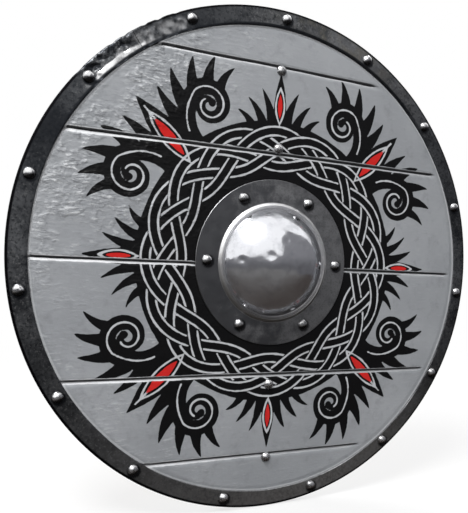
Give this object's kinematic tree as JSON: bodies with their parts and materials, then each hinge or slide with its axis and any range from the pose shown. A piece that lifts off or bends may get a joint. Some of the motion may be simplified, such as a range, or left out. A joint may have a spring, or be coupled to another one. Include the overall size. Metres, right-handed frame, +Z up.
{
  "type": "round shield",
  "caption": "Round wooden plank shield with a domed steel boss, a riveted steel rim and a hand grip across the back.",
  "frame": {"origin": "middle of the hand grip, on the shield's axis", "axes": "+Z up along the grip bar, +X along the planks, +Y out of the back towards the holder's body; the boss and the painted face look along -Y"},
  "size_m": [0.61, 0.0756, 0.6099],
  "materials": {
    "painted_board": "grey semi-gloss paint over planed planks, with a painted black knotwork ring",
    "rim_steel": "dark satin, rubbed bright at the joint",
    "boss_steel": "polished dome, darker satin flange",
    "rivet_steel": "polished heads",
    "washer_steel": "plain",
    "grip_wood": "oiled ash",
    "grip_leather": "dark brown, waxed"
  },
  "bodies": {
    "root": {"top_plank": "painted_board", "upper_plank": "painted_board", "upper_middle_plank": "painted_board", "lower_middle_plank": "painted_board", "lower_plank": "painted_board", "bottom_plank": "painted_board", "rim_channel": "rim_steel", "boss": "boss_steel", "rim_rivets": "rivet_steel", "boss_rivets": "rivet_steel", "bar_rivets": "rivet_steel", "boss_washers": "washer_steel", "bar_washers": "washer_steel", "grip_bar": "grip_wood", "grip_wrap": "grip_leather"}
  },
  "joints": []
}
